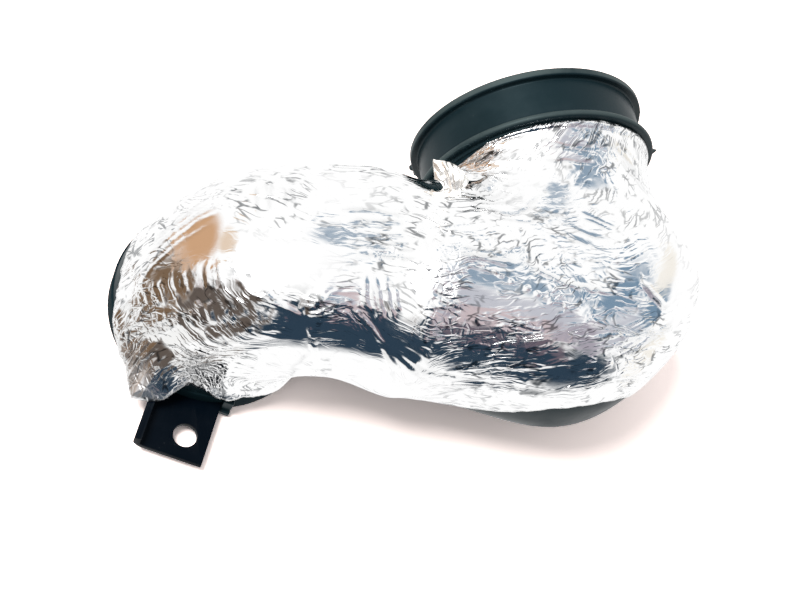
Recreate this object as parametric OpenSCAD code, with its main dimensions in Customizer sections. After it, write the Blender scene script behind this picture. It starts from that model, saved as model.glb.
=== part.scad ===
// Air intake pipe of a transmission: one moulded rubber duct with a round mouth that faces down, a wide
// elbow and a round two-lipped collar, a pressed steel bracket seated in a tray beside the mouth, and an
// adhesive foil heat shield over the outer side of the duct.
// Origin: centre of the mouth rim. Z is the mouth axis and the mouth opens towards -Z.
// The collar axis is level and points towards +Y, and the tube runs along +X between them.

/* [Mouth] */
// outside radius of the mouth cuff
mouth_radius = 40; // [39.8:0.1:40.6]
// thickness of the rubber at the mouth cuff
mouth_wall = 3; // [2.8:0.1:3.4]
// height of the straight mouth cuff
mouth_height = 11; // [10:0.5:11.5]

/* [Collar] */
// outside radius of the outer lip of the collar
lip_radius = 48; // [47:0.25:48.5]
// thickness of the outer lip along the collar axis
lip_thickness = 3.2; // [2:0.2:4]
// radius of the floor of the clamp groove
groove_radius = 45.2; // [45:0.1:45.8]
// width of the clamp groove between the lip and the bead
groove_width = 15.8; // [12:0.2:17]
// outside radius of the rounded bead behind the groove
bead_radius = 48.5; // [47.5:0.25:48.5]
// inside radius of the collar
collar_bore_radius = 41.2; // [40.5:0.1:41.4]

/* [Duct] */
// thickness of the rubber along the tube
duct_wall = 3; // [2.6:0.1:3.4]

/* [Bracket] */
// thickness of the bracket steel
bracket_thickness = 2.5; // [2:0.1:2.6]
// height of the turned-up edge of the bracket above the plate
flange_height = 4.5; // [2:0.5:6]
// radius of the bolt hole
hole_radius = 4.5; // [3:0.25:5.5]

/* [Foil] */
// thickness of the foil heat shield
foil_thickness = 0.4; // [0.3:0.05:0.5]

/* [Hidden] */
$fn = 96;

// places of the collar, whose bead stands level with the mouth rim and has a plain land behind it
collar_x = 128;
collar_z = bead_radius;
collar_face_y = 54;
bead_half_width = 1.4;
bead_land = 1.2;
lip_edge_round = 0.8;
neck_inset = 0.9;
groove_end_y = collar_face_y - lip_thickness;
bead_y = groove_end_y - groove_width - bead_half_width;
collar_start_y = bead_y - bead_half_width - bead_land;
neck_radius = groove_radius - neck_inset;
neck_x = collar_x - neck_radius;

// grid of the swept skins, and their walls where the cuff and the collar cover them
sides = 40;
steps = 2;
buried_wall = 1.9;
neck_wall = 2.5;

// highest point of the elbow over the mouth, and its heading, which leans slightly towards -Y
crown_z = 75.4;
mouth_heading = -8;

// places of the bracket: its plate lies level and points away from the mouth at this angle
bracket_angle = -114.4;
plate_z = 3.5;
plate_left = -11.8;
plate_width = 26.1;
plate_reach = 23.6;
plate_right = plate_left + plate_width;
plate_end = mouth_radius + plate_reach;
hole_edge = 9.1;
hole_along = plate_end - hole_edge;
hole_across = 5.3;
bend_radius = 1.5;
bend_overlap = 0.2;
root_depth = 1.5;

// the tray that holds the bracket
tray_floor_z = 0.8;
tray_top_z = 10;
tray_start = 0.65 * mouth_radius;
tray_setback = 0.2;
tray_end = mouth_radius - tray_setback;
cheek_setback = 1.4;
cheek_end = mouth_radius - cheek_setback;
cheek_width = 4.2;
plate_clearance = 0.1;

// cuts start well inside the cuff, run above everything near it and pass their faces by a margin
cut_start = mouth_radius / 2;
cut_height = 3 * tray_top_z;
cut_margin = 1;

// air gap under the foil, and its first and last ring on the duct
foil_gap = 0.2;
foil_first = 3;
foil_last = 35;
foil_cells = 36;

// Side stations over the mouth, in the upright plane of the heading. Lengths along and across are in
// mouth radii, and a rise is a share of the climb from the top of the cuff to the crown:
// inner rail along, inner rise, outer rail along, outer rise, half width, squareness, wall.
mouth_stations = [
    [0.985, -0.093, -0.985, -0.093, 0.985, 2, buried_wall],
    [0.985, 0, -0.985, 0, 0.98, 2, buried_wall],
    [1.01, 0.025, -0.88, 0.21, 0.935, 2.1, duct_wall],
    [1.03, 0.04, -0.638, 0.536, 0.95, 2.15, duct_wall],
    [1.055, 0.053, -0.26, 0.798, 0.96, 2.2, duct_wall],
    [1.085, 0.062, 0.218, 0.932, 0.98, 2.2, duct_wall],
    [1.125, 0.065, 0.675, 0.981, 1, 2.2, duct_wall],
    [1.2, 0.05, 1.175, 1, 1.035, 2.35, duct_wall]
];

// Plan stations along the tube and round the elbow to the collar, in neck radii from the inside corner
// of the elbow, with the height of the centre as a share of the height of the collar axis:
// inner rail x and y, heading, half width, height of the centre, half height, squareness, wall.
tube_stations = [
    [-0.32, -0.113, -11.5, 0.91, 0.933, 0.76, 2.33, duct_wall],
    [-0.093, -0.122, -14, 0.914, 0.918, 0.824, 2.2, duct_wall],
    [-0.061, -0.108, 4, 0.984, 0.911, 0.858, 2.3, duct_wall],
    [-0.043, -0.095, 22, 1.183, 0.907, 0.892, 2.4, duct_wall],
    [-0.029, -0.081, 38, 1.242, 0.913, 0.91, 2.5, duct_wall],
    [-0.018, -0.068, 52, 1.282, 0.924, 0.926, 2.5, duct_wall],
    [-0.011, -0.056, 62, 1.251, 0.934, 0.937, 2.5, duct_wall],
    [-0.007, -0.045, 70, 1.079, 0.948, 0.948, 2.4, duct_wall],
    [-0.002, -0.034, 77, 0.984, 0.965, 0.964, 2.3, duct_wall],
    [0, -0.023, 84, 0.975, 0.986, 0.984, 2.15, duct_wall],
    [0, -0.005, 90, 1, 1, 1, 2, neck_wall],
    [0, 0.09, 90, 1, 1, 1, 2, neck_wall]
];

// A section is [centre, half-width vector, half-height vector, squareness, wall].
function rise_z(share) = mouth_height + share * (crown_z - mouth_height);

function side_section(s) =
    let (
        t = [cos(mouth_heading), sin(mouth_heading), 0],
        inner = mouth_radius * s[0] * t + [0, 0, rise_z(s[1])],
        outer = mouth_radius * s[2] * t + [0, 0, rise_z(s[3])]
    )
    [(inner + outer) / 2, [-t[1], t[0], 0] * mouth_radius * s[4], (outer - inner) / 2, s[5], s[6]];

function plan_section(s) =
    let (
        out = [sin(s[2]), -cos(s[2]), 0] * neck_radius * s[3],
        rail = [neck_x + neck_radius * s[0], collar_start_y + neck_radius * s[1], collar_z * s[4]]
    )
    [rail + out, -out, [0, 0, neck_radius * s[5]], s[6], s[7]];

sections = concat(
    [for (s = mouth_stations) side_section(s)],
    [for (s = tube_stations) plan_section(s)]
);

// Smooth curve through four neighbours, at t from 0 to 1 between b and c.
function smooth(a, b, c, d, t) =
    0.5 * (2 * b + (c - a) * t + (2 * a - 5 * b + 4 * c - d) * t * t + (3 * b - a - 3 * c + d) * t * t * t);

function at_section(i, t) =
    let (
        n = len(sections),
        b = sections[i],
        c = sections[min(i + 1, n - 1)],
        a = i > 0 ? sections[i - 1] : 2 * b - c,
        d = i + 2 < n ? sections[i + 2] : 2 * c - b
    )
    [for (k = [0:4]) smooth(a[k], b[k], c[k], d[k], t)];

section_list = [
    for (i = [0:len(sections) - 2], j = [0:steps - 1]) at_section(i, j / steps),
    sections[len(sections) - 1]
];
rings = len(section_list);

// Rounded-square outline of one section at an angle, pushed out by an offset.
function bent(v, n) = sign(v) * pow(abs(v), 2 / n);

function skin_point(s, angle, offset) =
    s[0]
    + s[1] * (1 + offset / norm(s[1])) * bent(cos(angle), s[3])
    + s[2] * (1 + offset / norm(s[2])) * bent(sin(angle), s[3]);

// Two triangles over one cell of a grid, given its four corner numbers.
function cell(a, b, c, d) = [[c, b, a], [d, c, a]];

// The hollow tube: an outer and an inner skin that meet in a flat ring at each end.
module tube() {
    points = concat(
        [for (s = section_list, j = [0:sides - 1]) skin_point(s, j * 360 / sides, 0)],
        [for (s = section_list, j = [0:sides - 1]) skin_point(s, j * 360 / sides, -s[4])]
    );
    inner = rings * sides;
    last = (rings - 1) * sides;
    faces = [
        for (i = [0:rings - 2], j = [0:sides - 1])
            let (a = i * sides + j, b = i * sides + (j + 1) % sides)
            each concat(
                cell(a, b, b + sides, a + sides),
                cell(inner + b, inner + a, inner + a + sides, inner + b + sides)
            ),
        for (j = [0:sides - 1])
            let (a = j, b = (j + 1) % sides)
            each concat(
                cell(b, a, inner + a, inner + b),
                cell(last + a, last + b, inner + last + b, inner + last + a)
            )
    ];
    polyhedron(points = points, faces = faces, convexity = 10);
}

// Everything that belongs to the bracket is drawn in the frame of its plate: X across, Y along it.
module bracket_frame() {
    rotate([0, 0, bracket_angle - 90])
        mirror([1, 0, 0])
            children();
}

module mouth_cuff() {
    difference() {
        cylinder(r = mouth_radius, h = mouth_height);
        translate([0, 0, -cut_margin])
            cylinder(r = mouth_radius - mouth_wall, h = mouth_height + 2 * cut_margin);
    }
}

// Tray on the cuff with a floor under the plate and a cheek on either side of it.
module bracket_tray() {
    wide = plate_width + 2 * cheek_width;
    difference() {
        bracket_frame() {
            translate([plate_left - cheek_width, tray_start, tray_floor_z])
                cube([wide, tray_end - tray_start, plate_z - tray_floor_z]);
            for (x = [plate_left - cheek_width, plate_right + plate_clearance])
                translate([x, tray_start, tray_floor_z])
                    cube([
                        cheek_width - plate_clearance,
                        cheek_end - tray_start,
                        tray_top_z - tray_floor_z
                    ]);
        }
        translate([0, 0, -cut_margin])
            cylinder(r = mouth_radius - mouth_wall / 2, h = tray_top_z + 2 * cut_margin);
    }
}

// Outline of the collar wall from the bore outwards, with the rounded lip.
module collar_profile() {
    translate([collar_bore_radius, collar_start_y])
        square([groove_radius - collar_bore_radius, collar_face_y - collar_start_y]);
    translate([collar_bore_radius, groove_end_y])
        square([lip_radius - lip_edge_round - collar_bore_radius, lip_thickness]);
    translate([lip_radius - 2 * lip_edge_round, groove_end_y + lip_edge_round])
        square([2 * lip_edge_round, lip_thickness - 2 * lip_edge_round]);
    for (y = [groove_end_y + lip_edge_round, collar_face_y - lip_edge_round])
        translate([lip_radius - lip_edge_round, y])
            circle(r = lip_edge_round, $fn = 32);
    translate([collar_bore_radius, bead_y - bead_half_width])
        square([bead_radius - bead_half_width - collar_bore_radius, 2 * bead_half_width]);
    translate([bead_radius - bead_half_width, bead_y])
        circle(r = bead_half_width, $fn = 48);
}

module collar() {
    translate([collar_x, 0, collar_z])
        rotate([-90, 0, 0])
            rotate_extrude($fn = 120)
                collar_profile();
}

module duct() {
    color([0.11, 0.13, 0.13])
        difference() {
            union() {
                tube();
                mouth_cuff();
                collar();
                bracket_tray();
            }
            bracket_frame()
                bracket_slot();
        }
}

// The plate seats a little way into the cuff, on a root that follows the cuff.
module bracket_slot() {
    difference() {
        translate([plate_left - plate_clearance, cut_start, plate_z])
            cube([
                plate_width + 2 * plate_clearance,
                plate_end - cut_start,
                bracket_thickness + plate_clearance
            ]);
        cylinder(r = mouth_radius - root_depth - plate_clearance, h = cut_height);
    }
}

// Cross section of the bracket: the flat plate, the bend and the turned-up edge.
module plate_profile() {
    outer = bend_radius + bracket_thickness;
    difference() {
        union() {
            translate([outer, outer])
                circle(r = outer, $fn = 48);
            translate([0, outer])
                square([bracket_thickness, flange_height - bend_radius]);
        }
        translate([outer, outer])
            circle(r = bend_radius, $fn = 48);
        translate([outer, -cut_margin])
            square([2 * outer, 4 * outer]);
        translate([bracket_thickness, outer])
            square([2 * outer, 4 * outer]);
    }
    translate([outer - bend_overlap, 0])
        square([plate_width - outer + bend_overlap, bracket_thickness]);
}

module bracket() {
    color([0.04, 0.05, 0.07])
        bracket_frame()
            difference() {
                translate([plate_left, plate_end, plate_z])
                    rotate([90, 0, 0])
                        linear_extrude(height = plate_end - cut_start)
                            plate_profile();
                cylinder(r = mouth_radius - root_depth, h = cut_height);
                translate([0, 0, plate_z + bracket_thickness])
                    cylinder(r = mouth_radius + plate_clearance, h = cut_height);
                translate([hole_across, hole_along, 0])
                    cylinder(r = hole_radius, h = cut_height);
            }
}

// Angles between which the foil covers each ring, from the back of the duct over its top to the front.
function foil_back(i) = lookup(i, [
    [3, -60], [8, -40], [14, -22], [22, -16], [26, 4], [28, 19], [30, 31], [32, 40], [35, 58]
]);

function foil_front(i) = lookup(i, [
    [3, 236], [8, 226], [14, 210], [18, 196], [20, 184], [22, 170], [23, 172], [25, 184], [30, 205], [35, 225]
]);

module heat_shield() {
    count = foil_last - foil_first + 1;
    across = foil_cells + 1;
    offsets = [foil_gap + foil_thickness, foil_gap];
    points = [
        for (o = offsets, i = [foil_first:foil_last], j = [0:foil_cells])
            skin_point(
                section_list[i],
                foil_back(i) + (foil_front(i) - foil_back(i)) * j / foil_cells,
                o
            )
    ];
    under = count * across;
    last = (count - 1) * across;
    faces = [
        for (i = [0:count - 2], j = [0:foil_cells - 1])
            let (a = i * across + j)
            each concat(
                cell(a, a + 1, a + 1 + across, a + across),
                cell(under + a + 1, under + a, under + a + across, under + a + 1 + across)
            ),
        for (j = [0:foil_cells - 1])
            each concat(
                cell(j + 1, j, under + j, under + j + 1),
                cell(last + j, last + j + 1, under + last + j + 1, under + last + j)
            ),
        for (i = [0:count - 2])
            let (a = i * across, b = i * across + foil_cells)
            each concat(
                cell(a, a + across, under + a + across, under + a),
                cell(b + across, b, under + b, under + b + across)
            )
    ];
    color([0.86, 0.87, 0.9])
        polyhedron(points = points, faces = faces, convexity = 10);
}

duct();
bracket();
heat_shield();
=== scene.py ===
"""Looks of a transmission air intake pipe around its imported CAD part.

A moulded rubber duct with a round mouth and a two-lipped collar carries a pressed steel bracket, and a
crinkled foil heat shield is stuck over its outer side. Sizes are in millimetres until a mesh is made.
"""

import logging
import math
from dataclasses import dataclass, field, replace
from enum import Enum

import bmesh
import bpy
import numpy as np
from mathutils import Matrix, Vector


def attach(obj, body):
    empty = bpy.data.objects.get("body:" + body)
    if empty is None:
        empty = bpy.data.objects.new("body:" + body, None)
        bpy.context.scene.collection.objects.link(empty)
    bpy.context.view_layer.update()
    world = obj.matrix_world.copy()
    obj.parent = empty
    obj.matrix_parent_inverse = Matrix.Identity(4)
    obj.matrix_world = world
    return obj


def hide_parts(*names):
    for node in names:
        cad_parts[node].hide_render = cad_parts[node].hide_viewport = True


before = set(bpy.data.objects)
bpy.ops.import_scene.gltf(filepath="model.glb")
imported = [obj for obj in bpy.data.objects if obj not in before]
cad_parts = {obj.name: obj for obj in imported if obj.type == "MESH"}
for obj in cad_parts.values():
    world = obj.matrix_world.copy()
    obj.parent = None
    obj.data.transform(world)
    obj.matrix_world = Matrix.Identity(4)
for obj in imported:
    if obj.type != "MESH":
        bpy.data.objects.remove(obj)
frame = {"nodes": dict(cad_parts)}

# Short names for types that come up often
Array = np.ndarray
Material = bpy.types.Material
Piece = bpy.types.Object
Socket = bpy.types.NodeSocket
Pair = tuple[float, float]
Triple = tuple[float, float, float]
Tone = tuple[float, float, float, float]
Inputs = dict[str | int, object]

LOG = logging.getLogger("intake_pipe")
MM = 0.001
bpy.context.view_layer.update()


class Slot(Enum):
    """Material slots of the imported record."""

    RUBBER = "rubber"
    BRACKET = "bracket"
    FOIL = "foil"


# Numbers and noise


def ease(low: float, high: float, value: Array) -> Array:
    """Smooth step: 0 below low, 1 above high, and 3t^2 - 2t^3 between them."""
    t = np.clip((value - low) / (high - low), 0.0, 1.0)
    return t * t * (3.0 - 2.0 * t)


def bump(centre: float, reach: float, value: Array) -> Array:
    """Bell curve: exp(-((value - centre) / reach)^2)."""
    return np.exp(-(((value - centre) / reach) ** 2))


def lattice_value(cells: Array, seed: int) -> Array:
    """Repeatable value from 0 to 1 for each whole-numbered cell.

    The three cell numbers are multiplied by large odd numbers, added, and mixed by shifts.

    Args:
        cells: Array of shape (..., 3).
        seed: Chooses one of many unlike tables.

    Returns:
        Array of shape (...).
    """
    low_bits = 0xFFFFFFFF
    mixed = (cells.astype(np.int64) @ [374761393, 668265263, 1440662683] + seed * 974634777) & low_bits
    mixed = ((mixed ^ (mixed >> 13)) * 1274126177) & low_bits
    mixed = ((mixed ^ (mixed >> 15)) * 668265263) & low_bits
    return (mixed ^ (mixed >> 16)) / low_bits


def soft_noise(points: Array, seed: int) -> Array:
    """Value noise from 0 to 1: the eight cell corners blended by smooth steps along each axis."""
    base = np.floor(points)
    t = points - base
    t = t * t * (3.0 - 2.0 * t)
    total = np.zeros(points.shape[:-1])
    for corner in np.ndindex(2, 2, 2):
        share = np.where(np.array(corner, bool), t, 1.0 - t).prod(axis=-1)
        total += share * lattice_value(base + corner, seed)
    return total


def fold(value: Array) -> Array:
    """Triangle wave from 0 to 1 with a sharp crease at every half."""
    return 2.0 * np.abs(value - np.floor(value + 0.5))


def creased(points: Array, wavelength: float, count: int, seed: int, warp: float) -> Array:
    """Crumpled height from 0 to 1: the mean of triangle waves along random directions of a warped space.

    Args:
        points: Places in millimetres, shape (..., 3).
        wavelength: Mean distance between like creases, in millimetres.
        count: Number of crossing waves.
        seed: Seed of the directions.
        warp: How far the space is bent before folding, in millimetres.

    Returns:
        Heights of shape (...).
    """
    rng = np.random.default_rng(seed)
    bend = np.stack([soft_noise(points / (1.7 * wavelength), seed + k) - 0.5 for k in (1, 2, 3)], axis=-1)
    bent = points + warp * bend
    total = np.zeros(points.shape[:-1])
    for _ in range(count):
        direction = rng.normal(size=3)
        direction /= np.linalg.norm(direction)
        total += fold(bent @ direction / (wavelength * rng.uniform(0.7, 1.4)) + rng.random())
    return total / count


def ridges(points: Array, seed: int, sharpness: float) -> Array:
    """Thin winding ridges from 0 to 1: one minus twice the distance of noise from its middle, to a power."""
    return np.clip(1.0 - 2.0 * np.abs(2.0 * soft_noise(points, seed) - 1.0), 0.0, 1.0) ** sharpness


# Meshes


def grid_quads(rows: int, columns: int, closed: bool = False) -> Array:
    """Corner numbers of every cell of a grid of points stored row by row.

    Args:
        rows: Number of rows of points.
        columns: Number of points in a row.
        closed: Whether the last row joins the first, and the last point of a row joins its first.

    Returns:
        Array of shape (cells, 4).
    """
    i = np.arange(rows if closed else rows - 1)[:, None]
    j = np.arange(columns if closed else columns - 1)[None, :]
    i2, j2 = (i + 1) % rows, (j + 1) % columns
    cells = [i * columns + j, i * columns + j2, i2 * columns + j2, i2 * columns + j]
    return np.stack([c + 0 * i * j for c in cells], axis=-1).reshape(-1, 4)


def signed_volume(points: Array, quads: Array) -> float:
    """Volume inside a closed set of quads, negative where they face inwards."""
    a, b, c, d = (points[quads[:, k]] for k in range(4))
    return float((np.cross(a, b) * c).sum() + (np.cross(a, c) * d).sum()) / 6.0


def place_object(name: str, data: bpy.types.ID) -> Piece:
    """Makes an object in the scene, at the origin."""
    made = bpy.data.objects.new(name, data)
    bpy.context.scene.collection.objects.link(made)
    return made


def mount_piece(mesh: bpy.types.Mesh, material: Material, node: str) -> Piece:
    """Makes a smooth-shaded piece of the part from a mesh, in place of a CAD node and riding on the one body.

    Args:
        mesh: The finished mesh; the piece takes its name.
        material: Finish of the piece.
        node: CAD node that the piece replaces.

    Returns:
        The new object.
    """
    mesh.materials.append(material)
    mesh.polygons.foreach_set("use_smooth", np.ones(len(mesh.polygons), bool))
    piece = place_object(mesh.name, mesh)
    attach(piece, "root")
    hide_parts(node)
    LOG.info("%s: %d vertices, %d faces", mesh.name, len(mesh.vertices), len(mesh.polygons))
    return piece


def make_piece(
    name: str,
    points: Array,
    faces: list[list[int]] | Array,
    material: Material,
    node: str,
) -> Piece:
    """Makes one piece of the part from points, with its faces outwards.

    Args:
        name: Name of the piece.
        points: Vertices in millimetres, shape (..., 3).
        faces: Quads as an array, or a list of faces that already face outwards.
        material: Finish of the piece.
        node: CAD node that the piece replaces.

    Returns:
        The new object.
    """
    flat = np.asarray(points, float).reshape(-1, 3) * MM
    if isinstance(faces, Array):
        if signed_volume(flat, faces) < 0.0:
            faces = faces[:, ::-1]
        faces = faces.tolist()
    mesh = bpy.data.meshes.new(name)
    mesh.from_pydata(flat.tolist(), [], faces)
    mesh.update()
    return mount_piece(mesh, material, node)


def point_values(piece: Piece, name: str, values: Array) -> None:
    """Stores one number per vertex under a name that materials read."""
    layer = piece.data.attributes.new(name, "FLOAT", "POINT")
    layer.data.foreach_set("value", np.ascontiguousarray(values, np.float32).ravel())


def finish_edges(piece: Piece, width: float) -> None:
    """Rounds the sharp edges of a piece by a width in millimetres and keeps its flat faces flat."""
    bevel = piece.modifiers.new("rounded_edges", "BEVEL")
    bevel.width = width * MM
    bevel.segments = 3
    bevel.limit_method = "ANGLE"
    bevel.angle_limit = math.radians(30.0)
    bevel.harden_normals = True


def rounded_outline(corners: list[Triple], steps: int = 6) -> Array:
    """Closed outline with every corner rounded by an arc of its own radius.

    Each arc runs between the two tangent points at radius / tan(half the corner angle) from the corner.

    Args:
        corners: Corner places and radii, as (x, y, radius).
        steps: Points on each arc less one.

    Returns:
        Outline points of shape (n, 2).
    """
    xy = np.array([c[:2] for c in corners])
    parts = []
    for k, (_, _, radius) in enumerate(corners):
        here, before, after = xy[k], xy[k - 1], xy[(k + 1) % len(xy)]
        if radius <= 0.0:
            parts.append(here[None])
            continue
        a = (before - here) / np.linalg.norm(before - here)
        b = (after - here) / np.linalg.norm(after - here)
        half = 0.5 * math.acos(float(np.clip(a @ b, -1.0, 1.0)))
        middle = here + (a + b) / np.linalg.norm(a + b) * radius / math.sin(half)
        start = here + a * radius / math.tan(half) - middle
        end = here + b * radius / math.tan(half) - middle
        turn = math.atan2(start[0] * end[1] - start[1] * end[0], float(start @ end))
        t = np.linspace(0.0, turn, steps + 1)
        x = middle[0] + start[0] * np.cos(t) - start[1] * np.sin(t)
        y = middle[1] + start[0] * np.sin(t) + start[1] * np.cos(t)
        parts.append(np.stack([x, y], axis=-1))
    return np.concatenate(parts)


def split_long(outline: Array, longest: float) -> Array:
    """Adds evenly spaced points to the sides of a closed outline that are longer than a length."""
    parts = []
    for here, after in zip(outline, np.roll(outline, -1, axis=0)):
        count = max(1, math.ceil(np.linalg.norm(after - here) / longest))
        t = np.arange(count)[:, None] / count
        parts.append(here + (after - here) * t)
    return np.concatenate(parts)


# Node trees


def colour(red: float, green: float, blue: float) -> Tone:
    """A linear colour with full alpha."""
    return (red, green, blue, 1.0)


@dataclass
class Desk:
    """Adds nodes to one node tree and wires them."""

    tree: bpy.types.NodeTree

    def feed(self, node: bpy.types.Node, inputs: Inputs) -> bpy.types.Node:
        """Links the inputs that are given as outputs of other nodes, and sets those given as plain values."""
        for key, value in inputs.items():
            if isinstance(value, Socket):
                self.tree.links.new(value, node.inputs[key])
            else:
                node.inputs[key].default_value = value
        return node

    def add(self, kind: str, inputs: Inputs | None = None, **settings: object) -> bpy.types.Node:
        """Adds a node, sets its properties, and links or sets its inputs.

        Args:
            kind: Node type, without the ShaderNode at its start.
            inputs: Sockets by name or number, each a value or another node's output.
            **settings: Properties of the node.

        Returns:
            The new node.
        """
        node = self.tree.nodes.new("ShaderNode" + kind)
        for name, value in settings.items():
            setattr(node, name, value)
        return self.feed(node, inputs or {})

    def group(self, group: bpy.types.NodeTree, inputs: Inputs) -> bpy.types.Node:
        """Places a shader group with its own values."""
        return self.feed(self.add("Group", node_tree=group), inputs)

    def math(self, operation: str, a: object, b: object = 0.0, clamp: bool = False) -> Socket:
        """One Math node; returns its output."""
        return self.add("Math", {0: a, 1: b}, operation=operation, use_clamp=clamp).outputs[0]

    def times(self, a: object, b: object, clamp: bool = False) -> Socket:
        """Product of two numbers."""
        return self.math("MULTIPLY", a, b, clamp)

    def plus(self, a: object, b: object, clamp: bool = False) -> Socket:
        """Sum of two numbers."""
        return self.math("ADD", a, b, clamp)

    def vector(self, operation: str, a: object, b: object = (0.0, 0.0, 0.0)) -> Socket:
        """One Vector Math node; returns its vector."""
        return self.add("VectorMath", {0: a, 1: b}, operation=operation).outputs[0]

    def span(self, value: object, low: float, high: float, start: float = 0.0, end: float = 1.0) -> Socket:
        """Maps a value smoothly from one range to another."""
        inputs = {"Value": value, "From Min": low, "From Max": high, "To Min": start, "To Max": end}
        return self.add("MapRange", inputs, interpolation_type="SMOOTHSTEP").outputs["Result"]

    def mix(self, share: object, a: object, b: object) -> Socket:
        """Mixes two colours by a share; returns the colour."""
        return self.add("Mix", {0: share, 6: a, 7: b}, data_type="RGBA").outputs[2]

    def noise(self, vector: object, scale: float, detail: float = 2.0, rough: float = 0.5) -> Socket:
        """Noise value from 0 to 1 at places given by a vector."""
        inputs = {"Vector": vector, "Scale": scale, "Detail": detail, "Roughness": rough}
        return self.add("TexNoise", inputs).outputs["Fac"]

    def cell_edges(self, vector: object, scale: float) -> Socket:
        """Distance to the nearest wall of a net of cells."""
        inputs = {"Vector": vector, "Scale": scale}
        return self.add("TexVoronoi", inputs, feature="DISTANCE_TO_EDGE").outputs["Distance"]

    def stirred(self, vector: object, place: object, scale: float, detail: float, amount: float) -> Socket:
        """A vector moved about by a noise of the place.

        Args:
            vector: The vector to move.
            place: Where the noise is read.
            scale: Scale of the noise.
            detail: Detail of the noise.
            amount: Size of the move for a noise that runs from -0.5 to 0.5.

        Returns:
            The moved vector.
        """
        cloud = self.add("TexNoise", {"Vector": place, "Scale": scale, "Detail": detail}).outputs["Color"]
        centred = self.vector("SUBTRACT", cloud, (0.5, 0.5, 0.5))
        return self.vector("ADD", vector, self.vector("MULTIPLY", centred, (amount, amount, amount)))

    def attribute(self, name: str) -> Socket:
        """Number that the mesh stores under a name."""
        return self.add("Attribute", attribute_name=name).outputs["Fac"]

    def show(self, kind: str, inputs: Inputs) -> None:
        """Adds the shader of a material or world and joins it to the output."""
        output = "OutputWorld" if kind == "Background" else "OutputMaterial"
        self.add(output, {"Surface": self.add(kind, inputs).outputs[0]})


def clear_desk(owner: Material | bpy.types.World) -> Desk:
    """Empties the nodes of a material or world and returns a desk for them."""
    owner.use_nodes = True
    owner.node_tree.nodes.clear()
    return Desk(owner.node_tree)


def new_material(name: str) -> tuple[Material, Desk, Socket]:
    """Makes a material without nodes; returns it, its desk and the Object coordinates."""
    material = bpy.data.materials.new(name)
    desk = clear_desk(material)
    return material, desk, desk.add("TexCoord").outputs["Object"]


def moulded_grain() -> bpy.types.NodeTree:
    """Group that gives the fine grain, handling marks and dust of a moulded or painted surface.

    Returns:
        Group with Grain (a height), Marks (broad smudges) and Dust (small pale specks).
    """
    group = bpy.data.node_groups.new("moulded_grain", "ShaderNodeTree")
    group.interface.new_socket(name="Vector", in_out="INPUT", socket_type="NodeSocketVector")
    group.interface.new_socket(name="Scale", in_out="INPUT", socket_type="NodeSocketFloat")
    for key in ("Grain", "Marks", "Dust"):
        group.interface.new_socket(name=key, in_out="OUTPUT", socket_type="NodeSocketFloat")
    desk = Desk(group)
    source = group.nodes.new("NodeGroupInput").outputs
    inputs = {0: source["Vector"], "Scale": source["Scale"]}
    place = desk.add("VectorMath", inputs, operation="SCALE").outputs[0]
    fine, coarse = desk.noise(place, 1500.0, 3.0, 0.6), desk.noise(place, 420.0)
    grain = desk.plus(desk.times(fine, 0.6), desk.times(coarse, 0.4))
    specks = desk.add("TexVoronoi", {"Vector": place, "Scale": 260.0}, feature="F1").outputs["Distance"]
    dust = desk.times(desk.span(specks, 0.09, 0.04), desk.span(desk.noise(place, 60.0), 0.5, 0.72))
    marks = desk.noise(place, 34.0, 4.0, 0.62)
    desk.feed(group.nodes.new("NodeGroupOutput"), {"Grain": grain, "Marks": marks, "Dust": dust})
    return group


@dataclass(frozen=True)
class SatinBlack:
    """Satin black rubber or paint with fine grain, handling marks, pale edges of real rubbing and painted
    highlight, and a little dust.

    Pairs are a low and a high end: smudge is the range of marks that show, roughness runs with the marks.
    """

    name: str = "moulded_rubber"
    base: Tone = colour(0.0065, 0.0165, 0.021)
    smudged: Tone = colour(0.015, 0.027, 0.032)
    # Pale edge colour: real rubbing, and a painted highlight along the lip and bead edges
    wear_highlight_tone: Tone = colour(0.06, 0.08, 0.08)
    dusty: Tone = colour(0.16, 0.16, 0.155)
    sheen: Tone = colour(0.72, 0.95, 1.0)
    grain_scale: float = 1.0
    smudge: Pair = (0.42, 0.66)
    smudge_share: float = 0.5
    dust_share: float = 0.35
    roughness: Pair = (0.29, 0.46)
    index: float = 1.18
    specular: float = 0.8
    relief: float = 0.25
    relief_depth: float = 0.00012

    def build(self, grain: bpy.types.NodeTree) -> Material:
        """Builds the material from the shared grain; the mesh says which edges are rubbed and carry a painted
        highlight.
        """
        material, desk, place = new_material(self.name)
        surface = desk.group(grain, {"Vector": place, "Scale": self.grain_scale}).outputs
        marks = surface["Marks"]
        smudge = desk.times(desk.span(marks, *self.smudge), self.smudge_share)
        body = desk.mix(smudge, self.base, self.smudged)
        # Pale edges: rubbing broken up by the marks, and a painted highlight line on the lip and the bead
        wear_and_highlight = desk.times(desk.attribute("wear_and_highlight"), desk.span(marks, 0.2, 0.6), clamp=True)
        body = desk.mix(wear_and_highlight, body, self.wear_highlight_tone)
        relief = {"Strength": self.relief, "Distance": self.relief_depth, "Height": surface["Grain"]}
        desk.show(
            "BsdfPrincipled",
            {
                "Base Color": desk.mix(desk.times(surface["Dust"], self.dust_share), body, self.dusty),
                "Roughness": desk.span(marks, 0.3, 0.7, *self.roughness),
                "IOR": self.index,
                "Specular IOR Level": self.specular,
                "Specular Tint": self.sheen,
                "Normal": desk.add("Bump", relief).outputs[0],
            },
        )
        return material


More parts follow.
